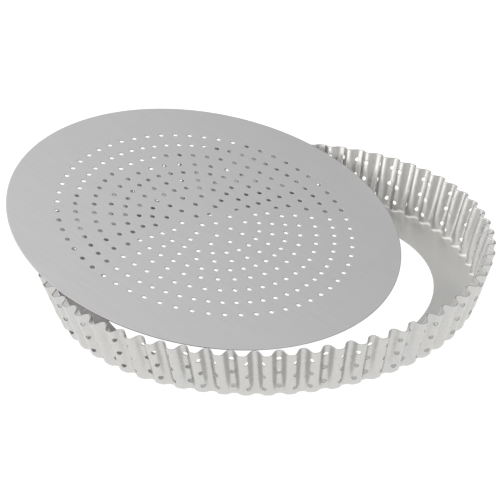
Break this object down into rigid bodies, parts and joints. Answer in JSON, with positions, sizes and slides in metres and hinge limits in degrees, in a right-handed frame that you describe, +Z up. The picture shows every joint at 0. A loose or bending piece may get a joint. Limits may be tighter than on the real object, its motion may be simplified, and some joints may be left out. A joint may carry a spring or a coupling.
{
  "type": "tart pan",
  "caption": "Round fluted tart tin of perforated bright steel: a flared ring with an inward ledge, and a flat loose base leaning in it.",
  "frame": {"origin": "on the ground below the middle of the ring and the leaning base together", "axes": "+Z up; +X along the base's lean, towards its low edge; the ring's axis is parallel to Z at x = 0.0123 m"},
  "size_m": [0.302, 0.2772, 0.0627],
  "materials": {
    "ring_steel": "bright tin-plated sheet steel, slightly satin, plain cut edges",
    "base_steel": "satin tin-plated sheet steel, neutral grey, punched holes"
  },
  "bodies": {
    "ring": {"fluted_ring": "ring_steel"},
    "base": {"loose_base": "base_steel"}
  },
  "joints": [
    {"name": "base_lift", "type": "slide", "parent": "ring", "child": "base", "axis": [0, 0, 1], "range_m": [0, 0.06]}
  ]
}
